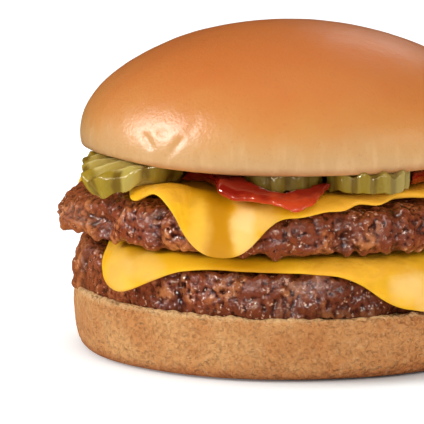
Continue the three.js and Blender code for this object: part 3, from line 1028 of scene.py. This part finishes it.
# The lights as azimuth and elevation in degrees, distance, width and height in metres, power in
# watts, colour, and whether it is seen in reflections. A light that names pieces instead shows
# only as a reflection in these.
LIGHTS = {
    "key": (188, 25, 1.1, 0.36, 0.36, 6.2, (1, 0.985, 0.965), UNSEEN),
    "back": (76, 26, 1.2, 0.3, 0.2, 0.35, (1, 0.97, 0.93), SEEN),
    "right": (-24, 26, 1.4, 0.1, 0.1, 0.8, (1, 0.98, 0.95), SEEN),
    "glint_left": (-146, 14, 1.5, 0.13, 0.13, 7, WARM, WET),
    "glint_front": (-114, 8, 1.5, 0.13, 0.13, 12, WARM, WET),
    "glint_high": (-98, 36, 1.5, 0.13, 0.13, 8, WARM, WET),
    "glint_right": (-58, 10, 1.5, 0.13, 0.13, 9, WARM, WET),
    "glint_key": (188, 26, 1.5, 0.12, 0.12, 11, WARM, WET),
    "crown_shine": (188, 26, 1.5, 0.75, 0.75, 18, (1, 0.99, 0.98), ("crown",)),
    "top": (50, 68, 1.4, 0.9, 0.9, 5, (1, 0.96, 0.92), UNSEEN),
    "fill": (-62, 38, 1.4, 1.2, 1.0, 4.2, (1, 0.97, 0.94), UNSEEN),
    "low_fill": (-80, 8, 1.5, 1.4, 0.3, 4.2, (1, 0.97, 0.94), UNSEEN),
}
LIGHT_AIM = Vector((0, 0, 40 * MM))
AMBIENT_SHADE = (1, 0.985, 0.965, 1)
SENSOR_WIDTH = 36
NEAREST, FARTHEST = 0.05, 20  # that the camera sees
FLOOR_SIZE = 8
FLOOR_GAP = 0.05 * MM  # between the floor and the heel


def area_light(name, azimuth, elevation, distance, width, height, power, shade, shows):
    """A softbox that faces the burger."""
    a, e = math.radians(azimuth), math.radians(elevation)
    away = Vector((math.cos(a) * math.cos(e), math.sin(a) * math.cos(e), math.sin(e)))
    bpy.ops.object.light_add(type="AREA", location=away * distance + LIGHT_AIM)
    light = bpy.context.object
    light.name = name
    light.rotation_euler = away.to_track_quat("Z", "Y").to_euler()
    light.data.shape = "RECTANGLE"
    light.data.size = width
    light.data.size_y = height
    light.data.energy = power
    light.data.color = shade
    light.visible_glossy = shows != UNSEEN
    if shows not in (UNSEEN, SEEN):
        light.visible_diffuse = False
        receivers = bpy.data.collections.new(name)
        for piece in shows:
            receivers.objects.link(bpy.data.objects[piece])
        light.light_linking.receiver_collection = receivers


class BURGER_OT_stage(bpy.types.Operator):
    """Set up the floor, the soft lights and the camera"""

    bl_idname = "burger.stage"
    bl_label = "Stage"

    def execute(self, context):
        stage = context.scene.burger_stage
        deselect()
        bpy.ops.mesh.primitive_plane_add(size=FLOOR_SIZE, location=(0, 0, -FLOOR_GAP))
        floor = context.object
        floor.name = "floor"
        floor.data.materials.append(paper_finish(stage))
        floor.visible_glossy = False

        for name, settings in LIGHTS.items():
            area_light(name, *settings)
        world = bpy.data.worlds.new("studio")
        context.scene.world = world
        world.use_nodes = True
        backdrop = world.node_tree.nodes["Background"]
        backdrop.inputs["Color"].default_value = AMBIENT_SHADE
        backdrop.inputs["Strength"].default_value = stage.ambient
        world.cycles_visibility.glossy = False

        target = Vector((stage.aside, 0, stage.aim))
        tilt = stage.elevation
        away = Vector((0, -math.cos(tilt), math.sin(tilt))) * stage.distance
        bpy.ops.object.camera_add(location=target + away, rotation=(math.pi / 2 - tilt, 0, 0))
        camera = context.object
        camera.data.sensor_width = SENSOR_WIDTH
        camera.data.lens = SENSOR_WIDTH * stage.distance / stage.frame_width
        camera.data.clip_start = NEAREST
        camera.data.clip_end = FARTHEST
        context.scene.camera = camera

        context.scene.view_settings.view_transform = "Standard"
        context.scene.view_settings.look = "None"
        return {"FINISHED"}


# ---------------------------------------------------------------- Add-on


class BURGER_PT_pieces(bpy.types.Panel):
    """The burger's pieces and their settings"""

    bl_idname = "BURGER_PT_pieces"
    bl_label = "Double Cheeseburger"
    bl_space_type = "VIEW_3D"
    bl_region_type = "UI"
    bl_category = "Burger"

    def draw(self, context):
        layout = self.layout
        for operator in OPERATORS:
            layout.operator(operator.bl_idname)
        for setting, group in SETTINGS.items():
            box = layout.box()
            box.label(text=group.__doc__)
            for name in group.__annotations__:
                box.prop(getattr(context.scene, setting), name)


SETTINGS = {
    "burger_bun": BunSettings,
    "burger_meat": MeatSettings,
    "burger_cheese": CheeseSettings,
    "burger_sauce": SauceSettings,
    "burger_pickle": PickleSettings,
    "burger_stage": StageSettings,
}
OPERATORS = [
    BURGER_OT_crown,
    BURGER_OT_heel,
    BURGER_OT_patties,
    BURGER_OT_cheese,
    BURGER_OT_ketchup,
    BURGER_OT_pickles,
    BURGER_OT_stage,
]


def register():
    for part in (*SETTINGS.values(), *OPERATORS, BURGER_PT_pieces):
        bpy.utils.register_class(part)
    for name, group in SETTINGS.items():
        setattr(bpy.types.Scene, name, PointerProperty(type=group))


def unregister():
    for name in SETTINGS:
        delattr(bpy.types.Scene, name)
    for part in reversed((*SETTINGS.values(), *OPERATORS, BURGER_PT_pieces)):
        bpy.utils.unregister_class(part)


def main():
    register()
    bpy.ops.burger.crown()
    bpy.ops.burger.heel()
    bpy.ops.burger.patties()
    bpy.ops.burger.cheese()
    bpy.ops.burger.ketchup()
    bpy.ops.burger.pickles()
    bpy.ops.burger.stage()
    deselect()


if __name__ == "__main__":
    main()
